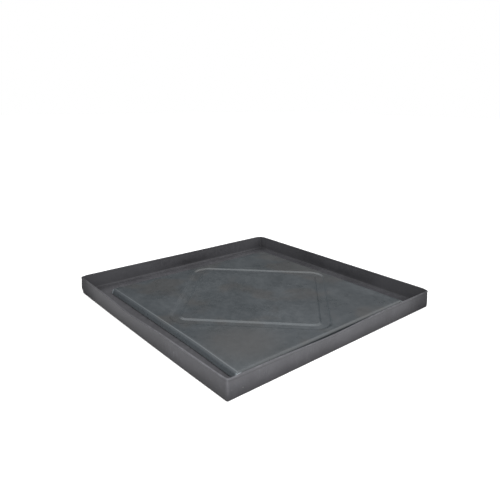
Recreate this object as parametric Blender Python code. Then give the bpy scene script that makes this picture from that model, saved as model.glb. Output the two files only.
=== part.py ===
"""A low-profile spill containment pallet: a sump tray, a lift-out support grid and a lift-out deck.

The tray is one shallow moulding that holds the spill. Inside it lies a grid of half-lapped bars, and
the deck, a plate with a turned-down skirt, rests on the grid. Neither is fastened, so both lift out.
Spilled liquid runs off the deck into the gutter round it, and under the skirt between the bars.

Metres, +Z up. The origin is the middle of the tray's underside. Drums stand on the deck.
"""

import math

import bmesh
import bpy
from mathutils import Matrix, Vector

# Sump tray
TRAY_SIDE = 1.340
TRAY_HEIGHT = 0.094
TRAY_WALL = 0.006
TRAY_CORNER_RADIUS = 0.010
TRAY_FOOT_RADIUS = 0.006
TRAY_FLOOR_FILLET = 0.012
LIP_HEIGHT = 0.008
LIP_PROUD = 0.002
LIP_RADIUS = 0.003

# Deck
DECK_SIDE = 1.128
DECK_TOP = 0.036
DECK_PLATE = 0.010
DECK_SKIRT = 0.012
DECK_DRAFT = math.radians(20)
DECK_EDGE_RADIUS = 0.018
DECK_CORNER_RADIUS = 0.014
DECK_INNER_FILLET = 0.004
DRAIN_GAP = 0.002

# The loose deck and grid lie a little to the right of the tray's middle, and towards its front.
DECK_SHIFT = Vector((0.010, -0.029, 0.0))

# Pressed channel: a diamond round the middle of the deck
CHANNEL_OFFSET = 0.362
CHANNEL_WIDTH = 0.056
CHANNEL_DEPTH = 0.005
CHANNEL_SLOPE = 0.010
CHANNEL_CORNER_RADIUS = 0.060

# Support grid
GRID_BARS = 9
GRID_PITCH = 0.130
GRID_OVERHANG = 0.020
BAR_THICKNESS = 0.010
DRAIN_NOTCH_WIDTH = 0.030
DRAIN_NOTCH_HEIGHT = 0.006

# Clearance between pieces that rest on or slot into each other
GAP = 0.0003

CORNER_STEPS = 5
EDGE_STEPS = 4

PLASTIC_ROUGHNESS = 0.42
TRAY_COLOUR = (0.045, 0.045, 0.048, 1.0)
DECK_COLOUR = (0.036, 0.043, 0.046, 1.0)
GRID_COLOUR = (0.055, 0.055, 0.055, 1.0)


def clear_scene():
    for item in list(bpy.data.objects):
        bpy.data.objects.remove(item)


def plastic(name, colour):
    material = bpy.data.materials.new(name)
    material.use_nodes = True
    shader = material.node_tree.nodes["Principled BSDF"]
    shader.inputs["Base Color"].default_value = colour
    shader.inputs["Roughness"].default_value = PLASTIC_ROUGHNESS
    shader.inputs["Metallic"].default_value = 0.0
    return material


def rounded_square(half, radius, z):
    """Points round a square with arcs for corners, anticlockwise seen from above."""
    points = []
    for quarter in range(4):
        turn = Matrix.Rotation(quarter * math.pi / 2, 3, "Z")
        for step in range(CORNER_STEPS + 1):
            angle = step / CORNER_STEPS * math.pi / 2
            x = half - radius + radius * math.cos(angle)
            y = half - radius + radius * math.sin(angle)
            points.append(turn @ Vector((x, y, z)))
    return points


def arc(centre, radius, start, end):
    """Points (x, z) on an arc, from the start angle to the end angle in degrees."""
    points = []
    for step in range(EDGE_STEPS + 1):
        angle = math.radians(start + (end - start) * step / EDGE_STEPS)
        points.append((centre[0] + radius * math.cos(angle), centre[1] + radius * math.sin(angle)))
    return points


def link_object(name, mesh_data, material, smooth=True):
    """A mesh object in the scene, with its faces turned outwards."""
    mesh = bpy.data.meshes.new(name)
    bmesh.ops.recalc_face_normals(mesh_data, faces=mesh_data.faces)
    mesh_data.to_mesh(mesh)
    mesh_data.free()
    if smooth:
        mesh.shade_smooth()
        mesh.set_sharp_from_angle(angle=math.radians(35))
    item = bpy.data.objects.new(name, mesh)
    bpy.context.scene.collection.objects.link(item)
    if material:
        mesh.materials.append(material)
    return item


def bridge(mesh_data, first, second):
    """Quads between two rings of the same number of vertices."""
    count = len(first)
    for index in range(count):
        after = (index + 1) % count
        mesh_data.faces.new((first[index], first[after], second[after], second[index]))


def square_shell(name, half, corner_radius, profile, material):
    """A body whose section, as (inset from the outer face, z), is swept round a rounded square.

    The first and the last ring are filled, so the profile runs from one flat face to another.
    """
    mesh_data = bmesh.new()
    rings = []
    for inset, z in profile:
        radius = max(corner_radius - inset, corner_radius / 4)
        points = rounded_square(half - inset, radius, z)
        rings.append([mesh_data.verts.new(point) for point in points])
    for first, second in zip(rings, rings[1:]):
        bridge(mesh_data, first, second)
    mesh_data.faces.new(rings[0])
    mesh_data.faces.new(rings[-1])
    return link_object(name, mesh_data, material)


def make_tray(material):
    """One moulding: floor, thin upright walls with rounded feet, and a slightly thicker lip."""
    wall_face = LIP_PROUD
    inner_face = wall_face + TRAY_WALL
    lip_bottom = TRAY_HEIGHT - LIP_HEIGHT
    foot = arc((wall_face + TRAY_FOOT_RADIUS, TRAY_FOOT_RADIUS), TRAY_FOOT_RADIUS, 270, 180)
    lip_step = [(wall_face, lip_bottom - LIP_PROUD), (0.0, lip_bottom)]
    lip_outside = arc((LIP_RADIUS, TRAY_HEIGHT - LIP_RADIUS), LIP_RADIUS, 180, 90)
    lip_inside = arc((inner_face - LIP_RADIUS, TRAY_HEIGHT - LIP_RADIUS), LIP_RADIUS, 90, 0)
    fillet_centre = (inner_face + TRAY_FLOOR_FILLET, TRAY_WALL + TRAY_FLOOR_FILLET)
    fillet = arc(fillet_centre, TRAY_FLOOR_FILLET, 180, 270)
    profile = foot + lip_step + lip_outside + lip_inside + fillet
    return square_shell("sump_tray", TRAY_SIDE / 2, TRAY_CORNER_RADIUS, profile, material)


def channel_cutter():
    """A ring with a trapezoid section, diamond-shaped in plan, that stands out of the deck's top."""
    half_width = CHANNEL_WIDTH / 2
    above = CHANNEL_DEPTH
    section = [
        (-half_width - CHANNEL_SLOPE, DECK_TOP + above),
        (-half_width + CHANNEL_SLOPE, DECK_TOP - CHANNEL_DEPTH),
        (half_width - CHANNEL_SLOPE, DECK_TOP - CHANNEL_DEPTH),
        (half_width + CHANNEL_SLOPE, DECK_TOP + above),
    ]
    mesh_data = bmesh.new()
    rings = []
    for offset, z in section:
        points = rounded_square(CHANNEL_OFFSET + offset, CHANNEL_CORNER_RADIUS + offset, z)
        rings.append([mesh_data.verts.new(point) for point in points])
    for first, second in zip(rings, rings[1:] + rings[:1]):
        bridge(mesh_data, first, second)
    bmesh.ops.rotate(mesh_data, matrix=Matrix.Rotation(math.pi / 4, 3, "Z"), verts=mesh_data.verts)
    cutter = link_object("channel_cutter", mesh_data, None, smooth=False)
    cutter.hide_render = True
    cutter.display_type = "WIRE"
    return cutter


def make_deck(material):
    """A plate with a rounded edge and a sloping skirt, which stops short of the sump's floor."""
    underside = DECK_TOP - DECK_PLATE
    skirt_bottom = TRAY_WALL + DRAIN_GAP
    fillet_centre = (DECK_SKIRT + DECK_INNER_FILLET, underside - DECK_INNER_FILLET)
    inside = arc(fillet_centre, DECK_INNER_FILLET, 90, 180)
    bottom = [(DECK_SKIRT, skirt_bottom), (0.0, skirt_bottom)]
    edge_middle = DECK_TOP - DECK_EDGE_RADIUS
    slope_top = edge_middle + DECK_EDGE_RADIUS * math.sin(DECK_DRAFT)
    slope_run = (slope_top - skirt_bottom) * math.tan(DECK_DRAFT)
    edge_inset = slope_run + DECK_EDGE_RADIUS * math.cos(DECK_DRAFT)
    slope_end = 180 - math.degrees(DECK_DRAFT)
    outside = arc((edge_inset, edge_middle), DECK_EDGE_RADIUS, slope_end, 90)
    profile = inside + bottom + outside
    deck = square_shell("deck_plate", DECK_SIDE / 2, DECK_CORNER_RADIUS, profile, material)
    deck.location = DECK_SHIFT
    cutter = channel_cutter()
    cutter.parent = deck
    channel = deck.modifiers.new("channel", "BOOLEAN")
    channel.operation = "DIFFERENCE"
    channel.object = cutter
    return deck


def crossing_positions():
    """Where the bars cross, along a bar, from its middle."""
    return [(index - (GRID_BARS - 1) / 2) * GRID_PITCH for index in range(GRID_BARS)]


def notch(middle, width, base, depth):
    """Four outline points (s, z) of a square notch that starts at z = base."""
    left = middle - width / 2
    right = middle + width / 2
    return [(left, base), (left, base + depth), (right, base + depth), (right, base)]


def bar_outline(height, laps_on_top):
    """The side view of a grid bar: a lap notch at each crossing, and a drain notch in each cell."""
    crossings = crossing_positions()
    half_length = crossings[-1] + GRID_OVERHANG
    lap_width = BAR_THICKNESS + 2 * GAP
    lap_depth = height / 2 + GAP / 2
    drains = [
        (position + GRID_PITCH / 2, DRAIN_NOTCH_WIDTH, DRAIN_NOTCH_HEIGHT) for position in crossings[:-1]
    ]
    laps = [(position, lap_width, lap_depth) for position in crossings]
    below = drains if laps_on_top else sorted(drains + laps)
    above = laps if laps_on_top else []
    outline = [(-half_length, 0.0)]
    for middle, width, depth in below:
        outline += notch(middle, width, 0.0, depth)
    outline += [(half_length, 0.0), (half_length, height)]
    for middle, width, depth in reversed(above):
        outline += reversed(notch(middle, width, height, -depth))
    outline.append((-half_length, height))
    return outline


def bar_mesh(name, outline):
    """The outline, drawn along X, as a bar of even thickness centred on the X axis."""
    mesh_data = bmesh.new()
    near_side = -BAR_THICKNESS / 2
    face = mesh_data.faces.new([mesh_data.verts.new((s, near_side, z)) for s, z in outline])
    grown = bmesh.ops.extrude_face_region(mesh_data, geom=[face])["geom"]
    far_verts = [part for part in grown if isinstance(part, bmesh.types.BMVert)]
    bmesh.ops.translate(mesh_data, vec=(0.0, BAR_THICKNESS, 0.0), verts=far_verts)
    bmesh.ops.recalc_face_normals(mesh_data, faces=mesh_data.faces)
    mesh = bpy.data.meshes.new(name)
    mesh_data.to_mesh(mesh)
    mesh_data.free()
    return mesh


def make_grid(material):
    """Runners from front to back and cross bars from side to side, half-lapped into a grid."""
    height = DECK_TOP - DECK_PLATE - TRAY_WALL - 2 * GAP
    grid = bpy.data.objects.new("support_grid", None)
    grid.location = DECK_SHIFT + Vector((0.0, 0.0, TRAY_WALL + GAP))
    bpy.context.scene.collection.objects.link(grid)
    runner = bar_mesh("support_runner", bar_outline(height, laps_on_top=True))
    cross = bar_mesh("support_cross", bar_outline(height, laps_on_top=False))
    for mesh in (runner, cross):
        mesh.materials.append(material)
    for number, position in enumerate(crossing_positions(), start=1):
        bar = bpy.data.objects.new(f"support_runner_{number}", runner)
        bar.rotation_euler = (0.0, 0.0, math.pi / 2)
        bar.location = (position, 0.0, 0.0)
        bar.parent = grid
        bpy.context.scene.collection.objects.link(bar)
        bar = bpy.data.objects.new(f"support_cross_{number}", cross)
        bar.location = (0.0, position, 0.0)
        bar.parent = grid
        bpy.context.scene.collection.objects.link(bar)


def main():
    clear_scene()
    make_tray(plastic("tray_plastic", TRAY_COLOUR))
    make_deck(plastic("deck_plastic", DECK_COLOUR))
    make_grid(plastic("grid_plastic", GRID_COLOUR))
    bpy.context.view_layer.update()


main()
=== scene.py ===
"""Looks of the spill containment pallet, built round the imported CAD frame.

The tray and the deck get finely built mouldings in place of their CAD solids, with the slight bow, sag
and waviness of a large thin-walled plastic part. The support bars stay as they are, with eased edges.
"""

import math

import bmesh
import bpy
from mathutils import Matrix, Quaternion, Vector, noise


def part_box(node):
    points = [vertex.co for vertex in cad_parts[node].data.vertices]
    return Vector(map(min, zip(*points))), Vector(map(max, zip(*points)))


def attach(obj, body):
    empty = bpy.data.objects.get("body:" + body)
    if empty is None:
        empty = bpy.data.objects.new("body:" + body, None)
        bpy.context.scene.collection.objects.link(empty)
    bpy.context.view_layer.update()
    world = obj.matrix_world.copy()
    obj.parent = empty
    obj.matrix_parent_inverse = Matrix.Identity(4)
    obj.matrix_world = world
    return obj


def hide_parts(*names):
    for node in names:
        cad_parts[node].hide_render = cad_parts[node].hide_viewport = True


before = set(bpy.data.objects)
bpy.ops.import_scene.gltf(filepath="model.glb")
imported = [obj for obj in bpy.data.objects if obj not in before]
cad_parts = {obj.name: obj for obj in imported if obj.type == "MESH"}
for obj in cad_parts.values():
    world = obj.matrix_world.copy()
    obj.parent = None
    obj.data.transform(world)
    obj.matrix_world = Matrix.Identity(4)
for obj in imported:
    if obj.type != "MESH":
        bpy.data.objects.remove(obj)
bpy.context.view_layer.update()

# ---------------------------------------------------------------- sizes, metres
tray_low, tray_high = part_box("sump_tray")
deck_low, deck_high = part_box("deck_plate")
TRAY_HALF = (tray_high.x - tray_low.x) / 2
RIM_Z = tray_high.z
DECK_HALF = (deck_high.x - deck_low.x) / 2
DECK_MIDDLE = (deck_low + deck_high) / 2
DECK_TOP = deck_high.z
SKIRT_BOTTOM = deck_low.z

# Section of the tray's wall, as in the CAD
WALL = 0.006
FOOT_RADIUS = 0.006
FLOOR_FILLET = 0.012
LIP_HEIGHT = 0.008
LIP_PROUD = 0.002
LIP_RADIUS = 0.003
TRAY_CORNER = 0.010
# The eased step under the lip: inset from the lip's face, and height from the lip's bottom
LIP_STEP = ((LIP_PROUD, -0.0022), (LIP_PROUD - 0.0003, -0.0012), (0.0004, -0.0002), (0.0, 0.0008))

# Section of the deck, as in the CAD
PLATE = 0.010
SKIRT = 0.012
DRAFT = math.radians(20)
DECK_EDGE = 0.018
DECK_CORNER = 0.014
INNER_FILLET = 0.004
CHANNEL_OFFSET = 0.362
CHANNEL_HALF_TOP = 0.031
CHANNEL_HALF_FLOOR = 0.017
CHANNEL_DEPTH = 0.005
CHANNEL_CORNER = 0.060
# The eased foot of the skirt: inset from the deck's outline, and height above the foot
SKIRT_FOOT_OUTSIDE = ((0.0003, 0.0010), (0.0005, 0.0004), (0.0011, 0.0))
SKIRT_FOOT_INSIDE = ((SKIRT - 0.0010, 0.0), (SKIRT - 0.0003, 0.0004), (SKIRT, 0.0010))

# How finely the mouldings are built: steps along half a side, and round half a corner
TRAY_STEPS = (56, 5)
DECK_STEPS = (44, 8)
WALL_RINGS = 9
# The tray's floor: how many rings, how far in the first lies, and how much further each next one lies
FLOOR_RINGS, FIRST_FLOOR_RING, FLOOR_GROWTH = 12, 0.02, 1.42
# The deck's rings: shares of the way from its middle to the channel, with a margin before the channel,
# distances from the channel's middle line, the count from there to the edge, and insets underneath
DIAMOND_SHARES = (0.05, 0.2, 0.36, 0.52, 0.66, 0.78, 0.88, 0.95, 0.985)
DIAMOND_MARGIN = 0.003
CHANNEL_OFFS = (
    0.034, 0.032, 0.0305, 0.029, 0.027, 0.025, 0.023, 0.021, 0.019, 0.0175, 0.0155, 0.008
)
PLATE_RINGS = 12
UNDERSIDE_INSETS = (0.03, 0.06, 0.12, 0.22, 0.34, 0.46, 0.53)

# Each wall's name, the axis that it runs along, the axis that it faces, and which way
WALLS = (("front", 0, 1, -1), ("left", 1, 0, -1), ("back", 0, 1, 1), ("right", 1, 0, 1))
# How each wall has crept: where along the wall, how wide, how far out and how far down at the rim
WALL_CREEP = {
    "front": (-0.11, 0.29, 0.009, 0.003),
    "left": (0.07, 0.21, 0.006, 0.005),
    "back": (0.10, 0.32, 0.005, 0.003),
    "right": (-0.05, 0.34, 0.006, 0.003),
}
CREEP_SHARPNESS = 1.4
# A point this close to an outer face moves with that wall
WALL_ZONE = 0.030
# The creep and the ripple fade out over these distances from a wall's ends
CREEP_FADE, RIPPLE_FADE = 0.16, 0.10
RIPPLE, RIPPLE_RATE = 0.0007, 6.0
# The rim is drawn in at the corners by this much, fading over this distance, and down by a share of it
CORNER_EASE, CORNER_REACH, EASED_DOWN = 0.005, 0.022, 0.2
# Each wall's foot is bowed outwards in the middle by this much
FOOT_BOW = {"front": 0.0006, "left": 0.0045, "back": 0.0015, "right": 0.0010}
# The foot of the left corner, at -X +Y, is worn rounder: how much, and how far from the corner
LEFT_FOOT_WEAR, LEFT_FOOT_REACH, WORN_UP = 0.006, 0.017, 0.8
# How far the floor rises and falls. The bars start 0.3 mm above it
FLOOR_WAVE = 0.00022
# The deck's near corner, at -X -Y, has flared out along X by this much
DECK_FLARE = 0.009
# The deck's top: a slow and a quick unevenness, how far it has sunk, and where that fades at the edge
SLOW_WAVE, QUICK_WAVE, DECK_SINK, DECK_WAVE_FADE = 0.0009, 0.00025, 0.0006, 0.07
# The middle of the dullest patch of the deck, between the channel and the near corner
TRODDEN = (-0.38, -0.40, DECK_TOP)
# The stretch of the left wall's rim, up to this Y, that gets a painted highlight line
RIM_HIGHLIGHT_TO = -0.24

# The support bars' eased edges
BAR_WELD, BAR_EASE, BAR_EDGE_ANGLE = 0.00002, 0.0008, math.radians(40)

# Studio: the world's light grows from dim to bright along this direction, between two cosines to it
BRIGHT_SIDE = Vector((0.02, -0.20, 0.97))
DIM_LIGHT, BRIGHT_LIGHT = 0.12, 2.00
DIM_TO, BRIGHT_FROM = 0.27, 0.62
WHITE = (1.0, 1.0, 1.0, 1.0)
FLOOR_GREY = (0.72, 0.72, 0.72, 1.0)
FLOOR_GLOW = 0.35
FLOOR_SIZE, FLOOR_DROP = 30.0, 0.0005

# Camera
CAMERA_PLACE = (-1.5669, -1.8436, 1.0351)
CAMERA_YAW, CAMERA_PITCH, CAMERA_ROLL = 0.86656, 0.30242, 0.00995
CAMERA_SENSOR_MM, CAMERA_LENS_MM = 36.0, 34.58
CAMERA_NEAR, CAMERA_FAR = 0.05, 100.0


# ---------------------------------------------------------------- mesh helpers
def smoothstep(low, high, value):
    t = min(1.0, max(0.0, (value - low) / (high - low)))
    return t * t * (3.0 - 2.0 * t)


def arc(centre, radius, start, end, steps):
    """Points (inset, z) on an arc, from the start angle to the end angle in degrees."""
    points = []
    for step in range(steps + 1):
        angle = math.radians(start + (end - start) * step / steps)
        points.append((centre[0] + radius * math.cos(angle), centre[1] + radius * math.sin(angle)))
    return points


def run(start, end, steps):
    """Points between two section points, without the two themselves."""
    return [
        tuple(a + (b - a) * step / steps for a, b in zip(start, end)) for step in range(1, steps)
    ]


def raised(points, base):
    """Section points whose heights are given from a base height."""
    return [(inset, base + height) for inset, height in points]


def square_ring(half, radius, steps, turn=0.0):
    """Points round a rounded square, from the middle of one side, anticlockwise seen from above."""
    side_steps, corner_steps = steps
    points = []
    straight = half - radius
    for quarter in range(4):
        spin = Matrix.Rotation(quarter * math.pi / 2 + turn, 3, "Z")
        for step in range(side_steps):
            points.append(spin @ Vector((half, straight * step / side_steps, 0.0)))
        for step in range(2 * corner_steps):
            angle = step / (2 * corner_steps) * math.pi / 2
            corner = Vector((math.cos(angle), math.sin(angle), 0.0)) * radius
            points.append(spin @ (Vector((straight, straight, 0.0)) + corner))
        for step in range(side_steps):
            points.append(spin @ Vector((straight * (1 - step / side_steps), half, 0.0)))
    return points


def skin(mesh_data, rings):
    """Faces between each ring and the next, and one face across the first and the last."""
    for first, second in zip(rings, rings[1:]):
        count = len(first)
        for index in range(count):
            after = (index + 1) % count
            mesh_data.faces.new((first[index], first[after], second[after], second[index]))
    mesh_data.faces.new(rings[0])
    mesh_data.faces.new(rings[-1])


def finish_mesh(name, mesh_data, material, body, node):
    """Turns the mesh data into a smooth piece that rides on a body and stands for a CAD node."""
    bmesh.ops.recalc_face_normals(mesh_data, faces=mesh_data.faces)
    mesh = bpy.data.meshes.new(name)
    mesh_data.to_mesh(mesh)
    mesh_data.free()
    mesh.shade_smooth()
    mesh.materials.append(material)
    piece = bpy.data.objects.new(name, mesh)
    bpy.context.scene.collection.objects.link(piece)
    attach(piece, body)
    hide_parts(node)


# ---------------------------------------------------------------- materials
class Nodes:
    """A short way to write a node tree."""

    def __init__(self, material):
        material.use_nodes = True
        self.tree = material.node_tree
        self.shader = self.tree.nodes["Principled BSDF"]
        self.place = self.add("ShaderNodeTexCoord").outputs["Object"]
        self.facing = self.add("ShaderNodeNewGeometry").outputs["Normal"]

    def add(self, kind, **settings):
        node = self.tree.nodes.new(kind)
        for key, value in settings.items():
            setattr(node, key, value)
        return node

    def link(self, source, target):
        if isinstance(source, (int, float, tuple)):
            target.default_value = source
        else:
            self.tree.links.new(source, target)

    def noise(self, scale, detail, rough, stretch=(1, 1, 1), turn=0.0, shift=0.0):
        """Noise in metres: scale is in features per metre."""
        mapping = self.add("ShaderNodeMapping", vector_type="TEXTURE")
        self.link(self.place, mapping.inputs["Vector"])
        mapping.inputs["Scale"].default_value = stretch
        mapping.inputs["Rotation"].default_value = (0.0, 0.0, turn)
        mapping.inputs["Location"].default_value = (shift, shift * 0.7, shift * 0.3)
        texture = self.add("ShaderNodeTexNoise")
        self.link(mapping.outputs["Vector"], texture.inputs["Vector"])
        texture.inputs["Scale"].default_value = scale
        texture.inputs["Detail"].default_value = detail
        texture.inputs["Roughness"].default_value = rough
        return texture.outputs["Fac"]

    def math(self, operation, a, b=0.0, clamp=False):
        node = self.add("ShaderNodeMath", operation=operation, use_clamp=clamp)
        self.link(a, node.inputs[0])
        self.link(b, node.inputs[1])
        return node.outputs[0]

    def times(self, a, b, clamp=False):
        return self.math("MULTIPLY", a, b, clamp)

    def plus(self, a, b, clamp=False):
        return self.math("ADD", a, b, clamp)

    def distance(self, value, middle):
        """How far a value is from a middle value."""
        return self.math("ABSOLUTE", self.math("SUBTRACT", value, middle))

    def ramp(self, value, low, high, to_low=0.0, to_high=1.0):
        """Grows smoothly from one value to another, between two values of the input."""
        node = self.add("ShaderNodeMapRange", interpolation_type="SMOOTHSTEP")
        self.link(value, node.inputs["Value"])
        node.inputs["From Min"].default_value = low
        node.inputs["From Max"].default_value = high
        node.inputs["To Min"].default_value = to_low
        node.inputs["To Max"].default_value = to_high
        return node.outputs["Result"]

    def fall(self, value, low, high):
        """1 up to a low value of the input, falling smoothly to 0 at a high one."""
        return self.ramp(value, low, high, 1.0, 0.0)

    def band(self, value, middle, width):
        """1 at the middle, falling to 0 at the given distance."""
        return self.fall(self.distance(value, middle), 0.0, width)

    def mix(self, factor, a, b):
        node = self.add("ShaderNodeMix", data_type="RGBA")
        self.link(factor, node.inputs["Factor"])
        self.link(a, node.inputs["A"])
        self.link(b, node.inputs["B"])
        return node.outputs["Result"]

    def tint(self, tone, mask, amount, colour):
        """Mixes a share of a colour into the tone where the mask is."""
        return self.mix(self.times(mask, amount), tone, colour)

    def component(self, vector, axis):
        node = self.add("ShaderNodeSeparateXYZ")
        self.link(vector, node.inputs[0])
        return node.outputs[axis]

    def at(self, axis):
        """The X, Y or Z of the point."""
        return self.component(self.place, axis)

    def faces(self, axis):
        """How much the surface faces along X, Y or Z, from -1 to 1."""
        return self.component(self.facing, axis)

    def bump(self, height, distance, strength, normal=None):
        node = self.add("ShaderNodeBump")
        self.link(height, node.inputs["Height"])
        node.inputs["Distance"].default_value = distance
        node.inputs["Strength"].default_value = strength
        if normal is not None:
            self.link(normal, node.inputs["Normal"])
        return node.outputs["Normal"]


def shade(colour, gain=1.0):
    """The colour made lighter or darker by the gain, with full opacity."""
    return tuple(channel * gain for channel in colour) + (1.0,)


def tray_wear_and_painted_light(n, tone, rough, cloud, colour, pale):
    """The wall gets painted shading: lighter towards its rim and darker at its foot. It also gets
    painted shade under the lip and at the two side corners, painted light on the inner faces, painted
    highlights down the corners and along the left rim, and a worn rim that is partly a painted
    highlight.
    """
    height = n.plus(n.at("Z"), n.times(n.math("SUBTRACT", cloud, 0.5), 0.03))
    # Painted shading: the wall is painted lighter towards its rim
    tone = n.tint(tone, n.ramp(height, 0.35 * RIM_Z, RIM_Z), 0.38, shade(pale, 0.95))
    # Painted shadow in a thin band under the lip
    painted_lip_shadow = n.band(n.at("Z"), RIM_Z - 0.0105, 0.0035)
    tone = n.tint(tone, painted_lip_shadow, 0.45, shade(colour, 0.4))

    # Painted shade at the two side corners, where X times Y is lowest
    painted_corner_shade = n.fall(n.times(n.at("X"), n.at("Y")), -0.98 * TRAY_HALF**2, -0.62 * TRAY_HALF**2)
    tone = n.tint(tone, painted_corner_shade, 0.60, shade(colour, 0.42))
    # Painted shade: the walls are painted darker towards their foot
    foot = n.times(n.fall(height, 0.0, 0.55 * RIM_Z), n.fall(n.faces("Z"), 0.1, 0.6))
    tone = n.tint(tone, foot, 0.75, shade(colour, 0.35))

    sides = [n.math("ABSOLUTE", n.at(axis)) for axis in (0, 1)]
    # Painted light on the inner faces of the walls
    inside = n.fall(n.math("MAXIMUM", *sides), TRAY_HALF - 0.0075, TRAY_HALF - 0.0050)
    inside = n.times(inside, n.fall(n.faces("Z"), 0.3, 0.7))
    tone = n.tint(tone, inside, 0.45, shade(pale, 0.9))

    # Painted highlight down the rounded vertical corners, fading towards the foot
    corner = n.ramp(n.math("MINIMUM", *sides), TRAY_HALF - 0.016, TRAY_HALF - 0.006)
    corner = n.times(corner, n.ramp(height, 0.1 * RIM_Z, 0.9 * RIM_Z, 0.25, 1.0))
    tone = n.tint(tone, corner, 0.20, shade(pale, 1.5))

    # Patchy worn rim, partly a painted highlight along the rim's top
    wear_and_painted_light = n.ramp(n.at("Z"), RIM_Z - 0.005, RIM_Z - 0.0005)
    wear_and_painted_light = n.times(wear_and_painted_light, n.ramp(n.noise(26.0, 4.0, 0.7, shift=8.4), 0.42, 0.66))
    tone = n.tint(tone, wear_and_painted_light, 0.3, shade(pale, 1.5))
    rough = n.plus(rough, n.times(wear_and_painted_light, 0.12))
    rough = n.plus(rough, n.times(painted_corner_shade, 0.30), clamp=True)

    # Painted highlight along the top of the left wall's rim, over the stretch nearest the front
    painted_rim_highlight = n.ramp(n.at("Z"), RIM_Z - 0.0040, RIM_Z - 0.0015)
    painted_rim_highlight = n.times(painted_rim_highlight, n.fall(n.at("X"), 0.018 - TRAY_HALF, 0.024 - TRAY_HALF))
    painted_rim_highlight = n.times(painted_rim_highlight, n.fall(n.at("Y"), RIM_HIGHLIGHT_TO - 0.02, RIM_HIGHLIGHT_TO))
    return n.tint(tone, painted_rim_highlight, 0.09, shade(pale, 2.0)), rough


def deck_wear_and_painted_light(n, tone, rough, cloud, colour, pale):
    """Patches of greyer plastic and pale worn edges that are partly a painted highlight. Adds painted
    light on the left side and the skirt's foot, painted shade on the front side, a painted highlight
    on the left edge, and the brightest painted glint at the corners.
    """
    dulled = n.ramp(n.noise(3.6, 2.0, 0.5, shift=11.2), 0.50, 0.62)
    trodden = n.add("ShaderNodeVectorMath", operation="DISTANCE")
    n.link(n.place, trodden.inputs[0])
    trodden.inputs[1].default_value = TRODDEN
    dulled = n.math("MAXIMUM", dulled, n.fall(trodden.outputs["Value"], 0.06, 0.25))
    grey = (sum(colour) / 3 * 1.12,) * 3
    tone = n.tint(tone, dulled, 0.7, shade(grey))

    # Pale worn rounded edges and sides, partly a painted highlight
    edge = n.fall(n.faces("Z"), 0.55, 0.93)
    edge = n.times(edge, n.ramp(n.noise(22.0, 3.0, 0.6, shift=1.9), 0.25, 0.60, 0.55, 1.0))
    tone = n.tint(tone, edge, 0.60, shade(pale, 1.1))
    # Painted light that lifts the shade at the skirt's foot
    foot = n.fall(n.at("Z"), SKIRT_BOTTOM, SKIRT_BOTTOM + 0.014)
    tone = n.tint(tone, foot, 0.75, shade(pale, 1.1))
    # Painted light on the deck's faces that look left
    painted_left_light = n.fall(n.faces("X"), -0.80, -0.45)
    tone = n.tint(tone, painted_left_light, 0.35, shade(pale, 1.7))

    # Painted highlight along the top of the left edge's rounding, strongest near the deck's outline
    # and weaker further in
    sides = [n.distance(n.at(axis), DECK_MIDDLE[axis]) for axis in (0, 1)]
    outer = n.ramp(n.math("MAXIMUM", *sides), DECK_HALF - 0.040, DECK_HALF - 0.028)
    painted_crest_highlight = n.times(n.band(n.faces("Z"), 0.93, 0.06), n.fall(n.faces("X"), -0.30, -0.10))
    painted_crest_highlight = n.times(painted_crest_highlight, n.ramp(outer, 0.0, 1.0, 0.6, 1.0))
    tone = n.tint(tone, painted_crest_highlight, 0.50, shade(pale, 2.2))

    # Painted shade on the deck's faces that look to the front
    painted_front_shade = n.fall(n.faces("Y"), -0.80, -0.45)
    tone = n.tint(tone, painted_front_shade, 0.80, shade(colour, 0.5))
    # Painted glint on the sloping sides of the deck's corners
    corner = n.ramp(n.math("MINIMUM", *sides), DECK_HALF - 0.026, DECK_HALF - 0.010)
    corner = n.times(corner, n.fall(n.faces("Z"), 0.60, 0.90))
    return n.tint(tone, corner, 0.9, shade(pale, 4.5)), rough


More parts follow.
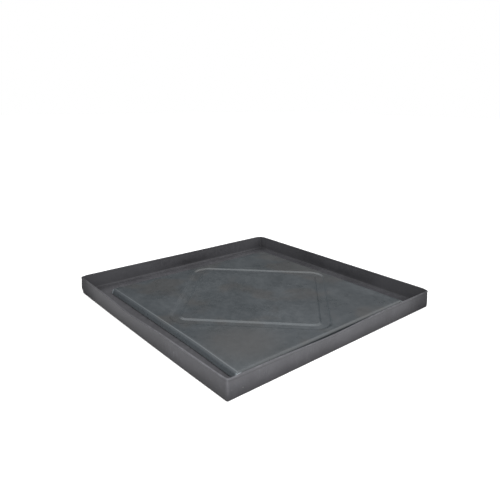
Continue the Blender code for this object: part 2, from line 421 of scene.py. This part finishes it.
def plastic(name, colour, pale, specular, roughness, scuffs, wear_and_painted_light=None):
    """Black polyethylene: moulded grain, cloudy colour, drag scuffs, dust on top faces, and a given
    function for worn places and painted light and shade.
    """
    material = bpy.data.materials.new(name)
    n = Nodes(material)
    shader = n.shader
    shader.inputs["IOR"].default_value = 1.5
    shader.inputs["Specular IOR Level"].default_value = specular

    cloud = n.noise(5.0, 4.0, 0.6, shift=1.3)
    mottle = n.noise(38.0, 3.0, 0.6, shift=4.1)
    speck = n.noise(420.0, 2.0, 0.6, shift=2.7)
    grain = n.noise(1100.0, 2.0, 0.5, shift=0.4)

    # Scuffs: long thin marks in three directions, gathered in patches
    patches = n.ramp(n.noise(3.2, 3.0, 0.6, shift=7.7), 0.46, 0.66)
    fine = n.noise(7.0, 2.0, 0.5, stretch=(1.0, 0.045, 1.0), turn=0.55, shift=3.3)
    cross = n.noise(6.0, 2.0, 0.5, stretch=(0.06, 1.0, 1.0), turn=-0.35, shift=5.9)
    steep = n.noise(9.0, 2.0, 0.5, stretch=(1.0, 0.05, 1.0), turn=1.15, shift=9.1)
    marks = n.math("MAXIMUM", n.band(fine, 0.5, 0.014), n.band(cross, 0.52, 0.012))
    marks = n.math("MAXIMUM", marks, n.band(steep, 0.48, 0.010))
    marks = n.times(marks, patches, clamp=True)
    fleck = n.ramp(n.noise(95.0, 1.0, 0.4, shift=6.2), 0.79, 0.83)

    # Dust lies where faces look up
    dust = n.times(n.ramp(n.faces("Z"), 0.75, 0.98), n.ramp(cloud, 0.35, 0.75, 0.15, 1.0))
    dust = n.times(dust, n.ramp(mottle, 0.3, 0.7, 0.5, 1.0))

    tone = n.mix(n.ramp(cloud, 0.3, 0.7), shade(colour, 0.86), shade(colour))
    tone = n.tint(tone, n.ramp(mottle, 0.35, 0.75), 0.16, shade(pale))
    tone = n.tint(tone, dust, 0.20, shade(pale))
    tone = n.tint(tone, n.ramp(speck, 0.55, 0.75), 0.10, shade(pale))
    tone = n.tint(tone, marks, scuffs, shade(pale, 1.8))
    tone = n.tint(tone, fleck, 0.35, (0.22, 0.22, 0.215, 1.0))

    rough = n.plus(roughness - 0.05, n.times(cloud, 0.10))
    rough = n.plus(rough, n.times(n.ramp(mottle, 0.3, 0.7), 0.05))
    rough = n.plus(rough, n.times(dust, 0.08))
    rough = n.plus(rough, n.times(marks, 0.05), clamp=True)

    if wear_and_painted_light is not None:
        tone, rough = wear_and_painted_light(n, tone, rough, cloud, colour, pale)

    n.link(tone, shader.inputs["Base Color"])
    n.link(rough, shader.inputs["Roughness"])
    normal = n.bump(n.noise(16.0, 2.0, 0.5, shift=2.1), 0.0009, 0.35)
    normal = n.bump(n.noise(130.0, 2.0, 0.5, shift=3.9), 0.0003, 0.35, normal)
    normal = n.bump(grain, 0.00012, 0.45, normal)
    n.link(normal, shader.inputs["Normal"])
    return material


TRAY_PLASTIC = plastic(
    "tray_black_plastic", colour=(0.039, 0.0385, 0.0425), pale=(0.090, 0.090, 0.097),
    specular=0.12, roughness=0.52, scuffs=0.30, wear_and_painted_light=tray_wear_and_painted_light,
)
DECK_PLASTIC = plastic(
    "deck_black_plastic", colour=(0.0208, 0.0262, 0.0304), pale=(0.0525, 0.059, 0.064),
    specular=0.50, roughness=0.27, scuffs=0.30, wear_and_painted_light=deck_wear_and_painted_light,
)
GRID_PLASTIC = plastic(
    "grid_grey_plastic", colour=(0.055, 0.055, 0.056), pale=(0.110, 0.110, 0.110),
    specular=0.40, roughness=0.48, scuffs=0.25,
)


# ---------------------------------------------------------------- tray
def creep(point):
    """How far a point of the wall has moved: the wall leans out, sags and ripples more towards its
    rim, all of which fades at the corners, and the foot of the left corner is worn away."""
    rise = point.z / RIM_Z
    move = Vector((0.0, 0.0, 0.0))
    for side, along, across, sign in WALLS:
        if point[across] * sign < TRAY_HALF - WALL_ZONE:
            continue
        middle, width, out, down = WALL_CREEP[side]
        place = point[along]
        from_end = TRAY_HALF - abs(place)
        shape = math.exp(-(((place - middle) / width) ** 2) * CREEP_SHARPNESS)
        shape *= smoothstep(0.0, CREEP_FADE, from_end)
        ripple = RIPPLE * noise.noise(Vector((place * RIPPLE_RATE, sign * 3.0, across * 5.0)))
        ripple *= smoothstep(0.0, RIPPLE_FADE, from_end)
        bow = FOOT_BOW[side] * (1.0 - (place / TRAY_HALF) ** 2)
        pulled = CORNER_EASE * math.exp(-((from_end / CORNER_REACH) ** 2)) * rise**2
        move[across] += sign * (bow + out * shape * rise**1.3 + ripple * rise - pulled)
        move.z -= down * shape * rise**2 + EASED_DOWN * pulled
    from_corner = (point - Vector((-TRAY_HALF, TRAY_HALF, 0.0))).length
    worn = LEFT_FOOT_WEAR * math.exp(-((from_corner / LEFT_FOOT_REACH) ** 2))
    return move + Vector((worn, -worn, WORN_UP * worn))


def floor_wave(point):
    """The floor isn't quite flat, but it stays below the bars."""
    return FLOOR_WAVE * noise.noise(Vector((point.x * 4.0, point.y * 4.0, 1.7)))


def make_tray():
    """Rings up the outside of the wall, over the lip, down the inside and over the floor."""
    inner = LIP_PROUD + WALL
    floor_start = inner + FLOOR_FILLET
    lip_low = RIM_Z - LIP_RADIUS
    lip_step = raised(LIP_STEP, RIM_Z - LIP_HEIGHT)
    section = arc((LIP_PROUD + FOOT_RADIUS, FOOT_RADIUS), FOOT_RADIUS, 270, 180, 8)
    section += run((LIP_PROUD, FOOT_RADIUS), lip_step[0], WALL_RINGS)
    section += lip_step
    section += arc((LIP_RADIUS, lip_low), LIP_RADIUS, 180, 90, 6)
    section += arc((inner - LIP_RADIUS, lip_low), LIP_RADIUS, 90, 0, 6)
    section += run((inner, lip_low), (inner, WALL + FLOOR_FILLET), WALL_RINGS)
    section += arc((floor_start, WALL + FLOOR_FILLET), FLOOR_FILLET, 180, 270, 8)
    mesh_data = bmesh.new()
    rings = []
    for inset, z in section:
        radius = max(TRAY_CORNER - inset, TRAY_CORNER / 4)
        ring = square_ring(TRAY_HALF - inset, radius, TRAY_STEPS)
        for point in ring:
            point.z = z
        rings.append([mesh_data.verts.new(point + creep(point)) for point in ring])
    for step in range(FLOOR_RINGS):
        share = FIRST_FLOOR_RING * FLOOR_GROWTH**step
        half = (TRAY_HALF - floor_start) * (1.0 - share)
        ring = square_ring(half, TRAY_CORNER / 4, TRAY_STEPS)
        rings.append([mesh_data.verts.new((p.x, p.y, WALL + floor_wave(p))) for p in ring])
    skin(mesh_data, rings)
    finish_mesh("tray_moulding", mesh_data, TRAY_PLASTIC, "tray", "sump_tray")


# ---------------------------------------------------------------- deck
def deck_wave(point):
    """Slow unevenness of the deck's top, which fades out at its edge."""
    fade = smoothstep(0.0, DECK_WAVE_FADE, DECK_HALF - max(abs(point.x), abs(point.y)))
    slow = noise.noise(Vector((point.x * 3.1, point.y * 3.1, 4.2)))
    quick = noise.noise(Vector((point.x * 9.0, point.y * 9.0, 8.8)))
    return fade * (SLOW_WAVE * slow + QUICK_WAVE * quick - DECK_SINK)


def diamond_ring(offset):
    """A ring turned by 45 degrees. It starts towards +X +Y, at the middle of one of its sides."""
    radius = max(CHANNEL_CORNER + offset - CHANNEL_OFFSET, CHANNEL_CORNER / 4)
    return square_ring(offset, radius, DECK_STEPS, math.pi / 4)


def outline_ring(inset):
    """A ring along the deck's outline. It starts towards +X +Y too, at the middle of a corner."""
    radius = max(DECK_CORNER - inset, DECK_CORNER / 4)
    ring = square_ring(DECK_HALF - inset, radius, DECK_STEPS)
    shift = sum(DECK_STEPS)
    return ring[shift:] + ring[:shift]


def make_deck():
    """Rings outwards over the diamond, the channel and the edge, then down and under the plate."""
    mesh_data = bmesh.new()
    rings = []

    def place(ring, z, wavy=False):
        made = []
        for point in ring:
            flare = DECK_FLARE * smoothstep(0.10, DECK_HALF, -point.x)
            flare *= smoothstep(0.20, DECK_HALF, -point.y)
            x, y = DECK_MIDDLE.x + point.x - flare, DECK_MIDDLE.y + point.y
            made.append(mesh_data.verts.new((x, y, z + deck_wave(point) if wavy else z)))
        rings.append(made)

    # The top: inside the diamond, across the channel, and from there out to the edge
    for share in DIAMOND_SHARES:
        ring = diamond_ring((CHANNEL_OFFSET - CHANNEL_HALF_TOP - DIAMOND_MARGIN) * share)
        place(ring, DECK_TOP, wavy=True)
    for off in [-off for off in CHANNEL_OFFS] + [0.0] + list(reversed(CHANNEL_OFFS)):
        depth = CHANNEL_DEPTH * smoothstep(CHANNEL_HALF_TOP, CHANNEL_HALF_FLOOR, abs(off))
        place(diamond_ring(CHANNEL_OFFSET + off), DECK_TOP - depth, wavy=True)
    edge_middle = DECK_TOP - DECK_EDGE
    slope_top = edge_middle + DECK_EDGE * math.sin(DRAFT)
    edge_inset = (slope_top - SKIRT_BOTTOM) * math.tan(DRAFT) + DECK_EDGE * math.cos(DRAFT)
    last = diamond_ring(CHANNEL_OFFSET + CHANNEL_OFFS[0])
    edge = outline_ring(edge_inset)
    for step in range(1, PLATE_RINGS):
        place([a.lerp(b, step / PLATE_RINGS) for a, b in zip(last, edge)], DECK_TOP, wavy=True)

    # The edge, the skirt's slope and foot, and the underside
    underside = DECK_TOP - PLATE
    foot_outside = raised(SKIRT_FOOT_OUTSIDE, SKIRT_BOTTOM)
    section = arc((edge_inset, edge_middle), DECK_EDGE, 90, 180 - math.degrees(DRAFT), 8)
    section += run(section[-1], foot_outside[0], 4)
    section += foot_outside + raised(SKIRT_FOOT_INSIDE, SKIRT_BOTTOM)
    section += arc((SKIRT + INNER_FILLET, underside - INNER_FILLET), INNER_FILLET, 180, 90, 5)
    section += [(inset, underside) for inset in UNDERSIDE_INSETS]
    for inset, z in section:
        place(outline_ring(inset), z)
    skin(mesh_data, rings)
    finish_mesh("deck_moulding", mesh_data, DECK_PLASTIC, "deck", "deck_plate")


# ---------------------------------------------------------------- support bars
def dress_bars():
    """The CAD bars stay. Their edges are eased, and they get the grey plastic."""
    for name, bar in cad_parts.items():
        if not name.startswith("support_"):
            continue
        bar.data.materials.clear()
        bar.data.materials.append(GRID_PLASTIC)
        weld = bar.modifiers.new("weld", "WELD")
        weld.merge_threshold = BAR_WELD
        ease = bar.modifiers.new("ease", "BEVEL")
        ease.width = BAR_EASE
        ease.segments = 2
        ease.limit_method = "ANGLE"
        ease.angle_limit = BAR_EDGE_ANGLE
        ease.harden_normals = False


# ---------------------------------------------------------------- stage, light, camera
def make_floor():
    material = bpy.data.materials.new("studio_floor")
    inputs = Nodes(material).shader.inputs
    inputs["Base Color"].default_value = FLOOR_GREY
    inputs["Emission Color"].default_value = WHITE
    inputs["Emission Strength"].default_value = FLOOR_GLOW
    inputs["Roughness"].default_value = 0.9
    inputs["Specular IOR Level"].default_value = 0.1
    mesh_data = bmesh.new()
    bmesh.ops.create_grid(mesh_data, x_segments=2, y_segments=2, size=FLOOR_SIZE)
    mesh = bpy.data.meshes.new("studio_floor")
    mesh_data.to_mesh(mesh)
    mesh_data.free()
    mesh.materials.append(material)
    floor = bpy.data.objects.new("studio_floor", mesh)
    floor.location = (0.0, 0.0, -FLOOR_DROP)
    bpy.context.scene.collection.objects.link(floor)


def softbox(name, place, target, size, power, spread):
    light = bpy.data.lights.new(name, "AREA")
    light.shape = "RECTANGLE"
    light.size, light.size_y = size
    light.energy = power
    light.spread = math.radians(spread)
    lamp = bpy.data.objects.new(name, light)
    lamp.location = place
    lamp.rotation_mode = "QUATERNION"
    lamp.rotation_quaternion = (Vector(target) - Vector(place)).to_track_quat("-Z", "Y")
    lamp.visible_camera = False
    bpy.context.scene.collection.objects.link(lamp)


def make_light():
    """Soft light from the front and above, and softboxes. The backdrop itself shows plain white."""
    world = bpy.data.worlds.new("studio")
    world.use_nodes = True
    tree = world.node_tree
    output = tree.nodes["World Output"]
    ambient = tree.nodes["Background"]
    ambient.inputs["Color"].default_value = WHITE
    direction = tree.nodes.new("ShaderNodeTexCoord").outputs["Generated"]
    towards = tree.nodes.new("ShaderNodeVectorMath")
    towards.operation = "DOT_PRODUCT"
    tree.links.new(direction, towards.inputs[0])
    towards.inputs[1].default_value = BRIGHT_SIDE.normalized()
    rise = tree.nodes.new("ShaderNodeMapRange")
    rise.interpolation_type = "SMOOTHSTEP"
    tree.links.new(towards.outputs["Value"], rise.inputs["Value"])
    rise.inputs["From Min"].default_value = DIM_TO
    rise.inputs["From Max"].default_value = BRIGHT_FROM
    rise.inputs["To Min"].default_value = DIM_LIGHT
    rise.inputs["To Max"].default_value = BRIGHT_LIGHT
    tree.links.new(rise.outputs["Result"], ambient.inputs["Strength"])
    backdrop = tree.nodes.new("ShaderNodeBackground")
    backdrop.inputs["Color"].default_value = WHITE
    seen = tree.nodes.new("ShaderNodeLightPath").outputs["Is Camera Ray"]
    choose = tree.nodes.new("ShaderNodeMixShader")
    tree.links.new(seen, choose.inputs[0])
    tree.links.new(ambient.outputs[0], choose.inputs[1])
    tree.links.new(backdrop.outputs[0], choose.inputs[2])
    tree.links.new(choose.outputs[0], output.inputs["Surface"])
    bpy.context.scene.world = world
    softbox(
        "right_softbox", place=(-0.7, -2.4, 1.6), target=(-0.25, -0.67, 0.0), size=(1.2, 0.9),
        power=7.0, spread=60.0,
    )
    softbox(
        "left_softbox", place=(-2.3, -0.9, 1.3), target=(-0.67, -0.25, 0.0), size=(1.1, 0.8),
        power=2.2, spread=60.0,
    )


def make_camera():
    data = bpy.data.cameras.new("camera")
    data.sensor_width = CAMERA_SENSOR_MM
    data.lens = CAMERA_LENS_MM
    data.clip_start, data.clip_end = CAMERA_NEAR, CAMERA_FAR
    camera = bpy.data.objects.new("camera", data)
    level = math.cos(CAMERA_PITCH)
    forward = Vector(
        (level * math.cos(CAMERA_YAW), level * math.sin(CAMERA_YAW), -math.sin(CAMERA_PITCH))
    )
    roll = Quaternion((0.0, 0.0, 1.0), CAMERA_ROLL)
    camera.location = CAMERA_PLACE
    camera.rotation_mode = "QUATERNION"
    camera.rotation_quaternion = forward.to_track_quat("-Z", "Y") @ roll
    bpy.context.scene.collection.objects.link(camera)
    bpy.context.scene.camera = camera


make_tray()
make_deck()
dress_bars()
make_floor()
make_light()
make_camera()
bpy.context.scene.view_settings.view_transform = "Standard"
bpy.context.view_layer.update()
